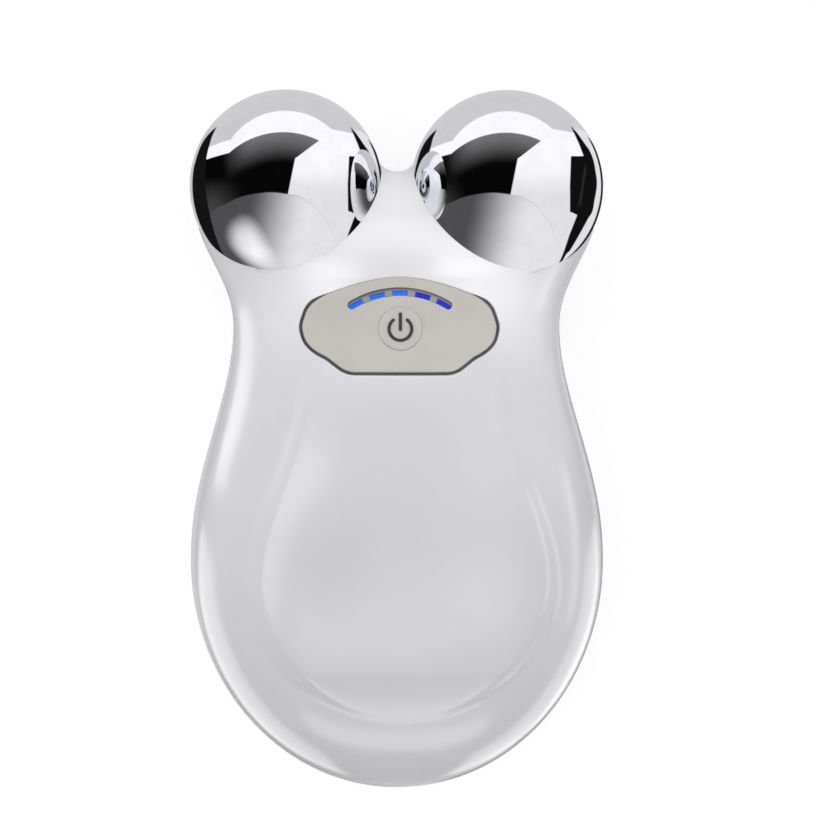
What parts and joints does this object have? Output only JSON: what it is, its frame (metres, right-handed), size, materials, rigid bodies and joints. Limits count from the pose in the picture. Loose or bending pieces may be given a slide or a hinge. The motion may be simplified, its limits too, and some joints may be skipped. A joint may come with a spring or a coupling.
{
  "type": "facial toning device",
  "caption": "Palm-sized facial toning device: a white gloss body holds two fixed chrome spheres, with a control panel, a power button and a row of blue level lights.",
  "frame": {"origin": "on the surface that the device rests on, under the middle of its outline", "axes": "+X across the device, +Y along it from the tail towards the spheres, +Z out of the front face; the device lies on its back"},
  "size_m": [0.0576, 0.097, 0.0402],
  "materials": {
    "cover_gloss": "white gloss moulded cover",
    "panel_satin": "warm grey satin",
    "seal_grey": "soft dark grey",
    "button_satin": "warm grey satin",
    "symbol_ink": "printed dark grey",
    "level_blue": "lit blue light guide",
    "sphere_chrome": "mirror polished",
    "stud_brass": "turned",
    "seal_black": "matt",
    "steel_plated": "plated",
    "lead_green": "silicone insulation",
    "lead_red": "silicone insulation",
    "board_green": "solder mask",
    "light_yellow": "light emitter body",
    "part_black": "moulded black",
    "contact_gold": "gold flashed",
    "ferrite": "ferrite and copper winding",
    "capacitor_blue": "sleeved can",
    "cell_foil": "pouch foil",
    "foam_grey": "closed-cell foam",
    "plug_ivory": "moulded ivory"
  },
  "bodies": {
    "housing": {"front_cover": "cover_gloss", "rear_cover": "cover_gloss", "panel_plate": "panel_satin", "panel_seal": "seal_grey", "level_light_guide": "level_blue", "left_sphere": "sphere_chrome", "right_sphere": "sphere_chrome", "left_stud": "stud_brass", "right_stud": "stud_brass", "sphere_seals": "seal_black", "stud_nuts": "steel_plated", "ring_terminals": "contact_gold", "left_lead": "lead_green", "right_lead": "lead_green", "control_board": "board_green", "control_screws": "steel_plated", "status_lights": "light_yellow", "switch_body": "steel_plated", "link_header": "part_black", "link_pins": "contact_gold", "main_board": "board_green", "main_screws": "steel_plated", "controller_chip": "part_black", "charger_chip": "part_black", "pulse_coil": "ferrite", "capacitors": "capacitor_blue", "buzzer": "part_black", "battery": "cell_foil", "battery_foam": "foam_grey", "battery_leads": "lead_red", "battery_plug": "plug_ivory", "charging_socket": "steel_plated", "housing_screws": "steel_plated", "screw_plugs": "cover_gloss"},
    "button": {"power_button": "button_satin", "power_symbol": "symbol_ink", "switch_plunger": "part_black"}
  },
  "joints": [
    {"name": "button_press", "type": "slide", "parent": "housing", "child": "button", "axis": [0, 0, -1], "range_m": [0, 0.0004], "stiffness_N_per_m": 3000}
  ]
}
